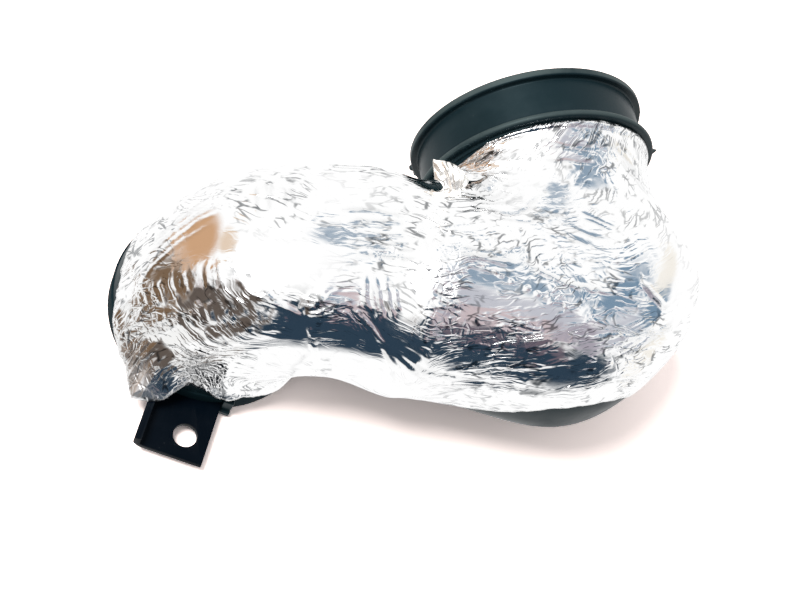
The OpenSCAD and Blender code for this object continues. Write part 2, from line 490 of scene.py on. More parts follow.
RUBBER = SatinBlack()
# The same rubber with its shine turned down, so the cuff reads darker: a shaded copy, painted shade
CUFF_RUBBER_SHADED_COPY = replace(RUBBER, name="cuff_rubber_shaded_copy", roughness=(0.53, 0.7), index=1.06)
BRACKET_PAINT = SatinBlack(
    name="bracket_paint",
    base=colour(0.001, 0.003, 0.006),
    smudged=colour(0.003, 0.006, 0.01),
    dusty=colour(0.12, 0.13, 0.14),
    sheen=colour(1.0, 1.0, 1.0),
    grain_scale=1.3,
    smudge=(0.4, 0.68),
    smudge_share=0.6,
    dust_share=0.3,
    roughness=(0.3, 0.42),
    index=1.2,
    specular=0.2,
    relief=0.3,
    relief_depth=0.0001,
)


@dataclass(frozen=True)
class CrinkledFoil:
    """Bright aluminium foil with fine wrinkles along or across the tube, and painted shade in thin lines
    along its folds.

    A net of folds is given by its cells per metre along and across the tube.
    """

    name: str = "crinkled_foil"
    bright: Tone = colour(0.95, 0.95, 0.95)
    # Colour of the painted shade in the foil's folds and along wrinkle edges
    shade_painted_crease: Tone = colour(0.12, 0.13, 0.14)
    roughness: float = 0.05
    fine_net: Pair = (75.0, 330.0)
    wide_net: Pair = (34.0, 140.0)
    crowded_cells: float = 330.0
    depth: float = 0.0002

    def folds(self, desk: Desk, lay: object, upright: object, net: Pair) -> Socket:
        """Distance to the nearest fold of a net of long cells.

        Args:
            desk: Desk of the material.
            lay: Distances along and round the tube.
            upright: Share of folds that lie across the tube.
            net: Cells per metre along and across the folds.

        Returns:
            The distance, as a share of a cell.
        """
        long, short = net
        level = desk.cell_edges(desk.vector("MULTIPLY", lay, (long, short, 1.0)), 1.0)
        standing = desk.cell_edges(desk.vector("MULTIPLY", lay, (short, long, 1.0)), 1.0)
        return desk.add("Mix", {0: upright, 2: level, 3: standing}, data_type="FLOAT").outputs[0]

    def build(self) -> Material:
        """Builds the material; the painted fold shade, crinkle and upright numbers come with the mesh.

        Wrinkles are the edges of long cells: each is a thin ridge with a thin line of painted shade on it,
        and a slower noise breaks the edges into short pieces.
        """
        material, desk, place = new_material(self.name)
        shade_painted_crease, crinkle, upright = (desk.attribute(name) for name in ("shade_painted_crease", "crinkle", "upright"))
        lay = desk.stirred(desk.add("UVMap", uv_map="lay").outputs[0], place, 60.0, 2.0, 0.008)
        fine = self.folds(desk, lay, upright, self.fine_net)
        wide = self.folds(desk, lay, upright, self.wide_net)
        broken = desk.span(desk.noise(place, 120.0), 0.42, 0.56)
        sparse = desk.span(desk.noise(place, 170.0), 0.48, 0.6)
        strength = desk.times(crinkle, broken)
        small = desk.times(desk.span(fine, 0.13, 0.0), desk.times(strength, 0.45))
        large = desk.times(desk.span(wide, 0.08, 0.0), desk.times(strength, 0.75))
        facets = desk.times(desk.plus(fine, wide), desk.times(crinkle, 0.35))
        crowded = desk.times(desk.span(crinkle, 0.75, 1.3), 0.5)
        crowd = desk.times(desk.span(desk.cell_edges(place, self.crowded_cells), 0.0, 0.2), crowded)
        height = desk.plus(desk.plus(small, large), desk.plus(facets, crowd))
        # Thin lines at the fold edges are painted shade in the base colour, added to the painted fold shade
        # from the mesh
        line = desk.math("MAXIMUM", desk.span(fine, 0.07, 0.02), desk.span(wide, 0.035, 0.01))
        painted_shade_lines = desk.times(desk.times(line, sparse), desk.span(crinkle, 0.02, 0.6, 0.0, 0.8))
        painted_shade = desk.plus(desk.times(shade_painted_crease, 0.3), painted_shade_lines, clamp=True)
        relief = desk.add("Bump", {"Strength": 1.0, "Distance": self.depth, "Height": height})
        rough = desk.span(desk.noise(place, 45.0, 3.0), 0.3, 0.7, self.roughness, self.roughness + 0.05)
        worked = desk.plus(desk.times(shade_painted_crease, 0.08), desk.span(crinkle, 0.8, 1.5, 0.0, 0.22))
        desk.show(
            "BsdfPrincipled",
            {
                "Base Color": desk.mix(painted_shade, self.bright, self.shade_painted_crease),
                "Metallic": 1.0,
                "Roughness": desk.plus(rough, worked),
                "Normal": relief.outputs[0],
            },
        )
        return material


# Rough foil of the torn flap; its grey is the colour of the painted shade in its folds
DULL_FOIL = CrinkledFoil("dull_foil", colour(0.97, 0.95, 0.91), colour(0.3, 0.3, 0.3), 0.32)


# The duct


@dataclass
class Sweep:
    """The skin that the duct and its foil follow: stations joined by smooth curves.

    A station has a centre, a half-width vector, a half-height vector and a squareness. A point at an angle
    is centre + across * sgn(cos)|cos|^(2/n) + up * sgn(sin)|sin|^(2/n), pushed out by an offset.

    A mouth station gives how far its inner and outer rails lie from the mouth's axis and how high they have
    climbed to the crown, then its half width and squareness. A tube station gives the place of its inner
    rail from the inside corner of the neck, its heading in degrees, its half width, the height of its
    middle, its half height and squareness. Lengths are shares of the mouth's or the neck's radius, and
    heights are shares of the climb or of the collar's height.
    """

    mouth_radius: float = 40.0
    mouth_height: float = 11.0
    crown_z: float = 75.4
    neck_radius: float = 44.3
    collar_x: float = 128.0
    collar_z: float = 48.5
    collar_start_y: float = 31.0
    heading: float = -8.0
    soften: float = 0.7
    mouth_stations: tuple[tuple[float, ...], ...] = (
        (0.985, -0.093, -0.985, -0.093, 0.985, 2),
        (0.985, 0, -0.985, 0, 0.98, 2),
        (1.01, 0.025, -0.88, 0.21, 0.935, 2.1),
        (1.03, 0.04, -0.638, 0.536, 0.95, 2.15),
        (1.055, 0.053, -0.26, 0.798, 0.96, 2.2),
        (1.085, 0.062, 0.218, 0.932, 0.98, 2.2),
        (1.125, 0.065, 0.675, 0.981, 1, 2.2),
        (1.2, 0.05, 1.175, 1, 1.035, 2.35),
    )
    tube_stations: tuple[tuple[float, ...], ...] = (
        (-0.32, -0.113, -11.5, 0.91, 0.933, 0.76, 2.33),
        (-0.093, -0.122, -14, 0.914, 0.918, 0.824, 2.2),
        (-0.061, -0.108, 4, 0.984, 0.911, 0.858, 2.3),
        (-0.043, -0.095, 22, 1.183, 0.907, 0.892, 2.4),
        (-0.029, -0.081, 38, 1.242, 0.913, 0.91, 2.5),
        (-0.018, -0.068, 52, 1.282, 0.924, 0.926, 2.5),
        (-0.011, -0.056, 62, 1.251, 0.934, 0.937, 2.5),
        (-0.007, -0.045, 70, 1.079, 0.948, 0.948, 2.4),
        (-0.002, -0.034, 77, 0.984, 0.965, 0.964, 2.3),
        (0, -0.023, 84, 0.975, 0.986, 0.984, 2.15),
        (0, -0.005, 90, 1, 1, 1, 2),
        (0, 0.09, 90, 1, 1, 1, 2),
    )
    rows: Array = field(init=False)

    def __post_init__(self) -> None:
        """Works the stations out into rows of centre, across, up and squareness."""
        turn = math.radians(self.heading)
        along = np.array([math.cos(turn), math.sin(turn), 0.0])
        side = np.array([-along[1], along[0], 0.0])
        up = np.array([0.0, 0.0, 1.0])
        climb = self.crown_z - self.mouth_height
        rows = []
        for a, a_rise, b, b_rise, half, square in self.mouth_stations:
            inner = self.mouth_radius * a * along + up * (self.mouth_height + a_rise * climb)
            outer = self.mouth_radius * b * along + up * (self.mouth_height + b_rise * climb)
            across = side * self.mouth_radius * half
            rows.append([*(inner + outer) / 2, *across, *(outer - inner) / 2, square])
        corner = np.array([self.collar_x - self.neck_radius, self.collar_start_y, 0.0])
        for x, y, angle, half, middle, tall, square in self.tube_stations:
            h = math.radians(angle)
            out = np.array([math.sin(h), -math.cos(h), 0.0]) * self.neck_radius * half
            rail = corner + [self.neck_radius * x, self.neck_radius * y, self.collar_z * middle]
            rows.append([*rail + out, *-out, *up * self.neck_radius * tall, square])
        self.rows = np.array(rows)

    @property
    def length(self) -> float:
        """Number of half stations from the first ring to the last."""
        return 2.0 * (len(self.rows) - 1)

    def frames(self, ring: Array) -> Array:
        """Station values at ring numbers, softened through the elbow by a mean over nearby rings."""
        reach = self.soften * ease(9.0, 13.0, ring) * (1.0 - ease(26.0, 31.0, ring))
        shares = ((-1.5, 0.13), (-0.75, 0.23), (0.0, 0.28), (0.75, 0.23), (1.5, 0.13))
        return sum(weight * self.curve(ring + step * reach) for step, weight in shares)

    def curve(self, ring: Array) -> Array:
        """Station values at ring numbers, by the Catmull-Rom cubic through four neighbours."""
        s = np.clip(ring / 2.0, 0.0, len(self.rows) - 1 - 1e-9)
        k = np.floor(s).astype(int)
        t = (s - k)[..., None]
        before, after = 2 * self.rows[:1] - self.rows[1:2], 2 * self.rows[-1:] - self.rows[-2:-1]
        row = np.concatenate([before, self.rows, after])
        a, b, c, d = row[k], row[k + 1], row[k + 2], row[k + 3]
        square, cubic = 2 * a - 5 * b + 4 * c - d, 3 * b - a - 3 * c + d
        return 0.5 * (2 * b + (c - a) * t + square * t**2 + cubic * t**3)

    def skin(self, ring: Array, angle: Array, offset: Array | float) -> Array:
        """Points of the skin.

        Args:
            ring: Ring numbers.
            angle: Angles in degrees, 0 on the inner rail, 90 on top, 180 on the outer rail.
            offset: Distance from the moulded skin, in millimetres.

        Returns:
            Points with one more axis than the arguments.
        """
        f = self.frames(ring)
        centre, across, up, square = f[..., :3], f[..., 3:6], f[..., 6:9], f[..., 9]
        c, s = np.cos(np.radians(angle)), np.sin(np.radians(angle))
        bent_c = np.sign(c) * np.abs(c) ** (2.0 / square)
        bent_s = np.sign(s) * np.abs(s) ** (2.0 / square)
        sideways = (1 + offset / np.linalg.norm(across, axis=-1)) * bent_c
        upward = (1 + offset / np.linalg.norm(up, axis=-1)) * bent_s
        return centre + across * sideways[..., None] + up * upward[..., None]


@dataclass
class Duct:
    """Moulded rubber duct: swept tube, mouth cuff, and collar with its two lips."""

    sweep: Sweep
    rubber: Material
    cuff_rubber_shaded_copy: Material
    wall: float = 3.0
    collar_face_y: float = 54.0
    bore: float = 41.2
    groove: float = 45.2
    lip: float = 48.0
    lip_width: float = 3.2
    bead: float = 48.5
    bead_half: float = 1.4
    bead_y: float = 33.6
    land: float = 1.2
    parting_angle: float = 29.0
    tuck: float = 3.5
    tuck_ring: float = 18.5
    tuck_angle: float = 238.0

    def ring_piece(self, name: str, points: Array, rubber: Material, wear_and_highlight: Array | float) -> Piece:
        """Makes a piece from a grid of points that closes on itself both ways, with its pale rubbed and
        painted-highlight edges marked.

        Args:
            name: Name of the piece.
            points: Grid of points in millimetres, shape (rows, columns, 3).
            rubber: Finish of the piece.
            wear_and_highlight: Share of pale edge, rubbing and painted highlight, at every point, or one for
                all.

        Returns:
            The new object.
        """
        faces = grid_quads(*points.shape[:2], closed=True)
        piece = make_piece(name, points, faces, rubber, "duct")
        point_values(piece, "wear_and_highlight", np.broadcast_to(wear_and_highlight, points.shape[:2]))
        return piece

    def tube(self) -> Piece:
        """Outer skin forward and inner skin back, with the underside tucked in beside the foil's edge."""
        ring = np.linspace(0.0, self.sweep.length, 160)
        angle = np.linspace(0.0, 360.0, 144, endpoint=False)
        r, a = np.meshgrid(ring, angle, indexing="ij")
        tuck = self.tuck * bump(self.tuck_ring, 3.4, r) * bump(self.tuck_angle, 38.0, a)
        outer = self.sweep.skin(r, a, -tuck)
        inner = self.sweep.skin(r, a, -self.wall - tuck)[::-1]
        return self.ring_piece("duct_tube", np.concatenate([outer, inner]), self.rubber, 0.0)

    def collar_outline(self) -> Array:
        """Rounded profile of the collar, as (radius, y), from the land behind the bead to the outer lip."""
        face, back, top = self.collar_face_y, self.bead_y - self.bead_half, self.bead_y + self.bead_half
        behind = face - self.lip_width
        corners = [
            (self.bore, back - self.land, 0.0),
            (self.groove, back - self.land, 0.0),
            (self.groove, back, 0.3),
            (self.bead, back, 1.35),
            (self.bead, top, 1.35),
            (self.groove, top, 0.7),
            (self.groove, behind, 0.7),
            (self.lip, behind, 0.7),
            (self.lip, face, 0.9),
            (self.bore, face, 0.6),
        ]
        return split_long(rounded_outline(corners, 8), 1.6)

    def collar(self) -> Piece:
        """Profile turned about the collar axis, with the parting line raised along two sides.

        The torn nibs of the moulding stand on the lip and the bead, and one nick is cut into the lip.
        """
        degrees = np.arange(720)[:, None] * 0.5
        radius, y = self.collar_outline().T[:, None]
        outside = ease(self.groove - 0.4, self.groove - 0.1, radius)
        seam = sum(bump(a, 0.35, degrees) for a in (self.parting_angle, self.parting_angle + 180.0))
        behind = self.collar_face_y - self.lip_width
        on_lip = outside * ease(behind + 0.2, behind + 0.9, y)
        on_bead = bump(self.bead_y, 1.1, y) * ease(self.bead - 1.2, self.bead - 0.3, radius)
        nibs = on_lip * (1.3 * bump(211.0, 0.7, degrees) + 0.7 * bump(216.5, 0.8, degrees))
        nibs = nibs + 1.7 * on_bead * bump(27.0, 0.75, degrees) - 0.8 * on_lip * bump(24.0, 0.9, degrees)
        r = radius + 0.14 * outside * seam + nibs
        turn = np.radians(degrees)
        x, z = self.sweep.collar_x + r * np.cos(turn), self.sweep.collar_z + r * np.sin(turn)
        # The lip's rim and the bead's crest get pale lines: painted highlight, broken up like rubbing by the
        # material
        rim = on_lip * ease(self.lip - 0.5, self.lip - 0.05, radius)
        crest = 0.8 * ease(self.bead - 0.7, self.bead, radius) * (y < self.bead_y + 2.0 * self.bead_half)
        points = np.stack([x, y + 0 * r, z], axis=-1)
        return self.ring_piece("duct_collar", points, self.rubber, np.clip(rim + crest, 0.0, 1.0))

    def cuff(self) -> Piece:
        """Straight mouth cuff of the same rubber as a shaded copy, its shine turned down as painted shade: a
        rounded wall profile turned about Z.
        """
        radius, height = self.sweep.mouth_radius, self.sweep.mouth_height
        bore = radius - self.wall
        corners = [(bore, 0.0, 0.5), (radius, 0.0, 0.5), (radius, height, 0.6), (bore, height, 0.0)]
        r, z = split_long(rounded_outline(corners, 5), 2.0).T[:, None]
        turn = np.linspace(0.0, 2.0 * math.pi, 240, endpoint=False)[:, None]
        points = np.stack([r * np.cos(turn), r * np.sin(turn), z + 0 * turn], axis=-1)
        # The bottom edge of the cuff is marked paler
        return self.ring_piece("duct_cuff", points, self.cuff_rubber_shaded_copy, 0.7 * bump(0.0, 0.6, z))


@dataclass
class BracketPlace:
    """Frame of the bracket: X across its plate and Y away from the mouth axis."""

    angle: float = -114.4

    def place(self, points: Array) -> Array:
        """Points of the bracket frame as points of the part."""
        turn = math.radians(self.angle)
        along = np.array([math.cos(turn), math.sin(turn), 0.0])
        across = np.array([-math.sin(turn), math.cos(turn), 0.0])
        x, y, z = points[..., 0:1], points[..., 1:2], points[..., 2:3]
        return x * across + y * along + z * np.array([0.0, 0.0, 1.0])


@dataclass
class Tray:
    """Rubber tray that the bracket sits in: a floor and a cheek on either side."""

    frame: BracketPlace
    rubber: Material

    def block(self, name: str, low: Triple, high: Triple) -> Piece:
        """Block of the bracket frame between two corners, with rounded edges."""
        sides = list(zip(low, high))
        corners = np.array([(x, y, z) for z in sides[2] for y in sides[1] for x in sides[0]])
        faces = np.array([[0, 2, 3, 1], [4, 5, 7, 6], [0, 1, 5, 4], [2, 6, 7, 3], [0, 4, 6, 2], [1, 3, 7, 5]])
        piece = make_piece(name, self.frame.place(corners), faces, self.rubber, "duct")
        finish_edges(piece, 0.5)
        return piece

    def build(self) -> None:
        """Builds the floor and both cheeks."""
        self.block("tray_floor", (-16.0, 27.0, 0.8), (18.5, 39.8, 3.5))
        self.block("tray_cheek_left", (-16.0, 27.0, 0.8), (-11.9, 38.6, 10.0))
        self.block("tray_cheek_right", (14.4, 27.0, 0.8), (18.5, 38.6, 10.0))


def build_bracket(paint: Material) -> Piece:
    """Pressed steel bracket: a copy of the CAD plate with its flat triangles joined and its edges rounded."""
    mesh = frame["nodes"]["bracket"].data.copy()
    mesh.name = "bracket_plate"
    mesh.materials.clear()
    form = bmesh.new()
    form.from_mesh(mesh)
    bmesh.ops.remove_doubles(form, verts=form.verts, dist=1e-6)
    bmesh.ops.dissolve_limit(form, angle_limit=math.radians(1.0), verts=form.verts, edges=form.edges)
    form.to_mesh(mesh)
    form.free()
    piece = mount_piece(mesh, paint, "bracket")
    finish_edges(piece, 0.35)
    return piece


# The foil


# Degrees round the tube that are about as long as one ring along it
RING_STEP = 9.0
FOLD_SEED = 400


@dataclass(frozen=True)
class Crease:
    """One fold line of the foil: width and height in millimetres, and its course as (ring, angle)."""

    width: float
    height: float
    course: tuple[Pair, ...]

    def polyline(self, sweep: Sweep, step: float = 0.25) -> Array:
        """Points of the course on the skin, close enough together for straight pieces between them."""
        places = np.array(self.course)
        length = np.concatenate([[0.0], np.cumsum(np.hypot(*(np.diff(places, axis=0) / [1.0, RING_STEP]).T))])
        t = np.linspace(0.0, length[-1], max(2, int(length[-1] / step) + 1))
        return sweep.skin(np.interp(t, length, places[:, 0]), np.interp(t, length, places[:, 1]), 0.0)


@dataclass(frozen=True)
class Patch:
    """Round region of the foil, by its centre as (ring, angle), its reach in millimetres and a strength."""

    ring: float
    angle: float
    reach: float
    strength: float


@dataclass(frozen=True)
class FoldGroup:
    """Like folds side by side: each runs from a line of starts to a line of ends, given as (ring, angle)."""

    count: int
    width: float
    height: float
    starts: tuple[Pair, Pair]
    ends: tuple[Pair, Pair]
    bend: float = 0.08

    @classmethod
    def single(cls, width: float, height: float, start: Pair, end: Pair, bend: float = 0.0) -> "FoldGroup":
        """A group of one fold."""
        return cls(1, width, height, (start, start), (end, end), bend)

    def creases(self, seed: int) -> list[Crease]:
        """Folds in even steps across the group, each a little longer, flatter or more bent than the next."""
        rng = np.random.default_rng(seed)
        starts, ends = np.array(self.starts, float), np.array(self.ends, float)
        folds = []
        for k in range(self.count):
            t = (k + 0.5 + rng.uniform(-0.3, 0.3)) / self.count
            a, b = starts[0] + (starts[1] - starts[0]) * t, ends[0] + (ends[1] - ends[0]) * t
            low, high = rng.uniform(-0.1, 0.25), rng.uniform(0.75, 1.1)
            side = np.array([(b[1] - a[1]) / RING_STEP, (a[0] - b[0]) * RING_STEP])
            middle = a + (b - a) * 0.5 + side * rng.uniform(-self.bend, self.bend)
            course = (tuple(a + (b - a) * low), tuple(middle), tuple(a + (b - a) * high))
            width, height = self.width * rng.uniform(0.8, 1.2), self.height * rng.uniform(0.6, 1.2)
            folds.append(Crease(width, height, course))
        return folds


# A group's place in this list sets its random draws
FOLD_GROUPS = (
    FoldGroup(19, 0.62, 0.42, ((4.5, 99), (8, 103)), ((4.7, 116), (8, 124))),
    FoldGroup(14, 0.65, 0.42, ((4.2, 119), (8.2, 124)), ((4.1, 132), (7.9, 140))),
    FoldGroup(12, 0.65, 0.4, ((3.4, 108), (4.6, 132)), ((4.4, 106), (6.2, 131))),
    FoldGroup(16, 0.8, 0.65, ((1.6, 110), (1.6, 162)), ((4.8, 104), (4.6, 158)), 0.15),
    FoldGroup(4, 0.8, 0.4, ((7.6, 127), (8.8, 124)), ((7.3, 140), (9.2, 136)), 0.2),
    FoldGroup(5, 0.8, 0.45, ((8.4, 112), (8.6, 125)), ((9.5, 127), (10.6, 137))),
    FoldGroup(5, 0.8, 0.45, ((10.6, 126), (10.8, 138)), ((12.5, 126), (12, 131))),
    FoldGroup(5, 0.65, 0.4, ((10.4, 134), (11.2, 131)), ((11, 124), (11.9, 123))),
    FoldGroup(7, 0.65, 0.35, ((13, 112), (14.4, 110)), ((13.4, 134), (14.8, 129))),
    FoldGroup(9, 0.6, 0.22, ((7.7, 64), (7.9, 86)), ((5.6, 76), (3.9, 106))),
    FoldGroup(5, 0.6, 0.25, ((9, 60), (10.4, 64)), ((9.2, 84), (10.6, 78))),
    FoldGroup(7, 0.65, 0.3, ((11.8, 80), (13, 102)), ((14.4, 80), (15.4, 98))),
    FoldGroup(7, 0.6, -0.22, ((17.5, 52), (20.5, 74)), ((24.7, 50), (25.5, 82))),
    FoldGroup(4, 0.6, -0.2, ((23.6, 85), (26.2, 86)), ((24.6, 93), (26.6, 95)), 0.2),
    FoldGroup(3, 0.65, -0.2, ((28.5, 70), (34.8, 66)), ((30.5, 92), (33.5, 100)), 0.25),
    FoldGroup(5, 0.65, -0.25, ((32.4, 106), (34.6, 104)), ((29.6, 116), (32.8, 129))),
    FoldGroup(4, 0.7, 0.3, ((17.5, 92), (17.6, 101)), ((21.4, 90), (20.6, 98))),
    FoldGroup(9, 0.7, 0.4, ((18.4, 94), (21.8, 110)), ((18.8, 97), (21.9, 106)), 0.3),
    FoldGroup(6, 0.7, -0.35, ((15.6, 106), (15.8, 118)), ((18.5, 114), (18.2, 128))),
    FoldGroup(8, 0.7, 0.32, ((16.4, 127), (13.9, 152)), ((18.9, 143), (18, 172))),
    FoldGroup(4, 0.65, 0.3, ((19.2, 157), (20.2, 137)), ((21.5, 138), (20.9, 126))),
    FoldGroup(6, 0.65, 0.32, ((22, 124), (23, 140)), ((24.6, 126), (25, 142))),
    FoldGroup(5, 0.65, 0.3, ((7.4, 142), (8.4, 139)), ((9, 152), (9.8, 142))),
    FoldGroup(6, 0.6, -0.25, ((14, 148), (19, 168)), ((17.6, 172), (21, 158))),
    FoldGroup.single(0.9, 0.5, (17.5, 95.5), (21.3, 92), 0.02),
    FoldGroup.single(0.9, 0.5, (21, 92), (24.6, 115), 0.04),
    FoldGroup.single(1.0, 0.7, (24.8, 113), (25, 136), 0.02),
    FoldGroup.single(0.9, 0.5, (10.8, 136), (10.9, 160), 0.03),
    FoldGroup.single(0.8, 0.4, (10.9, 158), (7.6, 200), 0.06),
    FoldGroup.single(0.9, 0.5, (12.8, 131), (14.9, 162), 0.03),
    FoldGroup.single(3.4, 2.2, (14, 38), (24.5, 30)),
    FoldGroup.single(3.4, 1.4, (19.5, 52), (25, 48)),
    FoldGroup.single(0.9, -0.45, (22.6, 76), (25.6, 83), 0.02),
)
# Places where the foil is smooth, crumpled, and folded across the tube
CALM = (
    Patch(7.6, 92, 13, 1.0), Patch(10.8, 106, 17, 1.0), Patch(9.3, 167, 14, 1.0), Patch(25.9, 125, 15, 1.0),
    Patch(24.1, 70, 15, 0.8), Patch(26.2, 95, 13, 0.7), Patch(13.5, 178, 15, 1.0), Patch(16.5, 186, 12, 0.8),
    Patch(12.0, 72, 14, 0.4), Patch(20.5, 172, 13, 0.6), Patch(10.0, 40, 26, 0.6), Patch(24.0, 150, 10, 0.3),
)
CRUMPLED = (
    Patch(9.4, 133, 8, 1.0), Patch(11.4, 132, 7, 0.9), Patch(5.3, 163, 12, 0.9), Patch(7.4, 155, 8, 0.8),
    Patch(17.3, 98, 8, 0.7), Patch(34.8, 90, 13, 0.5), Patch(34.8, 130, 10, 0.4), Patch(1.5, 146, 14, 0.9),
    Patch(16.2, 92, 9, 0.5), Patch(7.0, 131, 14, 0.5), Patch(2.4, 124, 13, 0.8), Patch(2.4, 180, 12, 0.7),
    Patch(9.6, 62, 12, 0.35),
)
UPRIGHT = (
    Patch(7.0, 131, 17, 1.0), Patch(9.0, 122, 10, 0.8), Patch(6.0, 150, 12, 0.8), Patch(13.2, 140, 8, 0.9),
    Patch(7.5, 75, 10, 0.6),
)


def between(table: tuple[tuple[float, ...], ...], place: Array | float, column: int = 1) -> Array:
    """Value of a column of a table at places, straight between its rows."""
    values = np.array(table)
    return np.interp(place, values[:, 0], values[:, column])


def distances(points: Array) -> tuple[Array, Array]:
    """Distance of each point of a grid from the start of its column, and from the start of its row."""
    along = np.linalg.norm(np.diff(points, axis=0, prepend=points[:1]), axis=-1).cumsum(axis=0)
    across = np.linalg.norm(np.diff(points, axis=1, prepend=points[:, :1]), axis=-1).cumsum(axis=1)
    return along, across


def ragged(place: Array, seed: int) -> Array:
    """Line of torn foil, from -0.5 to 0.5, with long and short steps."""
    spread = np.stack([place, place * 0 + seed, place * 0], axis=-1)
    long, short = soft_noise(spread, seed), soft_noise(spread * [3.1, 1, 1], seed + 1)
    return 0.7 * long + 0.3 * short - 0.5


@dataclass
class Foil:
    """Crinkled foil over the outer side of the duct.

    The edges of the foil are tables, straight between their rows: first_ring and last_ring give a ring for
    each angle, back_edge and front_edge an angle for each ring, and flare gives for each angle how far the
    lower edge stands out and up. Rings run from the mouth to the collar, and angles are in degrees.
    """

    sweep: Sweep
    metal: Material
    rows: int = 416
    columns: int = 220
    coarse: int = 4
    lift: float = 0.45
    mouth_ring: float = 2.0
    collar_ring: float = 36.0
    first_ring: tuple[Pair, ...] = (
        (-62, 2.7), (40, 2.9), (77, 3.5), (92, 3.2), (99, 2.8), (108, 2.1), (120, 1.7), (155, 1.7),
        (162, 3.4), (171, 3.2), (178, 2.8), (185, 2.4), (192, 2.7), (203, 2.3), (210, 1.5), (216, 0.9),
        (242, 0.7),
    )
    last_ring: tuple[Pair, ...] = ((30, 35.6), (60, 36.4), (120, 36.4), (150, 36), (240, 36))
    back_edge: tuple[Pair, ...] = (
        (0, -64), (3, -60), (8, -40), (14, -22), (18, -18), (22, -12), (25, 6), (26.5, 14), (29, 19),
        (32, 29), (34, 34), (37, 43),
    )
    front_edge: tuple[Pair, ...] = (
        (0, 240), (3, 238), (8, 226), (16, 207), (17.5, 203), (18.5, 195), (19.5, 190), (20.3, 183),
        (21.3, 170), (21.8, 166), (22.4, 165), (23, 169), (23.7, 179), (24.6, 190), (27, 200), (30, 208),
        (37, 232),
    )
    flare: tuple[Triple, ...] = (
        (104, 0, 0), (121, 0.8, 0), (130, 2.4, 0), (138, 6.5, 0), (144, 10.5, 0.3), (150, 8.5, 1.0),
        (156, 6, 1.2), (162, 2, 0.8), (171, 1, 0), (185, 1.3, 0), (203, 1.3, 0), (216, 0.8, 0), (225, 0, 0),
    )

    def even(self, row: Array) -> Array:
        """Shares of the ring range that make the rows about evenly spaced down the outer side."""
        first, last = 1.5, 36.0
        rings = np.linspace(first, last, 600)
        course = sum(self.sweep.skin(rings, np.full(600, a), 0.0) for a in (100.0, 135.0, 170.0)) / 3.0
        length = np.concatenate([[0.0], np.cumsum(np.linalg.norm(np.diff(course, axis=0), axis=-1))])
        return (np.interp(row * length[-1], length, rings) - first) / (last - first)

    def angle(self, ring: Array | float, column: Array, rag: tuple[object, object] = (0.0, 0.0)) -> Array:
        """Angle at a share of the way from the back edge to the front edge.

        Args:
            ring: Ring numbers.
            column: Shares from 0 at the back edge to 1 at the front edge.
            rag: How far the back edge and the front edge are torn from their course, in degrees.

        Returns:
            Angles in degrees.
        """
        low = between(self.back_edge, ring) + rag[0] * (1 - column)
        high = between(self.front_edge, ring) + rag[1] * column
        return low * (1 - column) + high * column

    def lay(self, row: Array, column: Array) -> tuple[Array, Array]:
        """Ring numbers and angles of the foil.

        The columns are drawn together on the outer side by a sine, and all four edges are ragged.

        Args:
            row: Shares from 0 at the mouth to 1 at the collar.
            column: Shares from 0 at the back edge to 1 at the front edge.

        Returns:
            Ring numbers and angles in degrees.
        """
        turn = 2.0 * math.pi
        column = column + 0.35 / turn * (np.sin(turn * (column - 0.08)) + math.sin(turn * 0.08))
        first = between(self.first_ring, self.angle(self.mouth_ring, column)) + 0.4 * ragged(column * 60, 5)
        last = between(self.last_ring, self.angle(self.collar_ring, column)) + 0.35 * ragged(column * 50, 6)
        ring = first + (last - first) * self.even(row)
        return ring, self.angle(ring, column, (1.8 * ragged(row * 70, 7), 1.8 * ragged(row * 80, 8)))

    def standing(self, ring: Array) -> Array:
        """Extra height where the foil runs over the cuff and over the land behind the bead."""
        return 0.75 * (1.0 - ease(2.0, 3.4, ring)) + 1.0 * ease(35.1, 35.9, ring)

    def near(self, places: Array, patches: tuple[Patch, ...]) -> Array:
        """Sum of soft round patches at places of the skin."""
        total = np.zeros(places.shape[:-1])
        for patch in patches:
            centre = self.sweep.skin(np.array(patch.ring), np.array(patch.angle), 0.0)
            distance = ((places - centre) ** 2).sum(axis=-1)
            total += patch.strength * np.exp(-distance / patch.reach**2)
        return total

    def build(self) -> Piece:
        """Builds the closed shell: a fine crinkled outer skin over a coarse smooth inner one."""
        shares = (np.linspace(0, 1, self.rows + 1), np.linspace(0, 1, self.columns + 1))
        row, column = np.meshgrid(*shares, indexing="ij")
        ring, angle = self.lay(row, column)
        base = self.sweep.skin(ring, angle, 0.0)
        height, masks = self.relief(base, row, column)
        outer = self.sweep.skin(ring, angle, self.lift + self.standing(ring) + height)
        outer = self.skirt(outer, ring, angle)
        few = slice(None, None, self.coarse)
        ring_in, angle_in = ring[few, few], angle[few, few]
        inner = self.sweep.skin(ring_in, angle_in, 0.12 + 1.1 * self.standing(ring_in))
        inner = self.skirt(inner, ring_in, angle_in)
        points = np.concatenate([outer.reshape(-1, 3), inner.reshape(-1, 3)])
        faces = self.shell_faces(outer.shape[:2], inner.shape[:2])
        piece = make_piece("foil_wrap", points, faces, self.metal, "heat_shield")
        hidden = np.zeros(ring_in.size)
        for name, values in masks.items():
            point_values(piece, name, np.concatenate([values.ravel(), hidden]))
        form = bmesh.new()
        form.from_mesh(piece.data)
        bmesh.ops.recalc_face_normals(form, faces=form.faces)
        form.to_mesh(piece.data)
        form.free()
        self.unwrap(piece, base, ring_in.size)
        return piece

    def unwrap(self, piece: Piece, base: Array, spare: int) -> None:
        """UV map in metres: distance along the tube and distance round it."""
        lay = np.stack(distances(base), axis=-1).reshape(-1, 2) * MM
        lay = np.concatenate([lay, np.zeros((spare, 2))])
        corners = np.zeros(len(piece.data.loops), int)
        piece.data.loops.foreach_get("vertex_index", corners)
        layer = piece.data.uv_layers.new(name="lay")
        layer.data.foreach_set("uv", lay[corners].astype(np.float32).ravel())

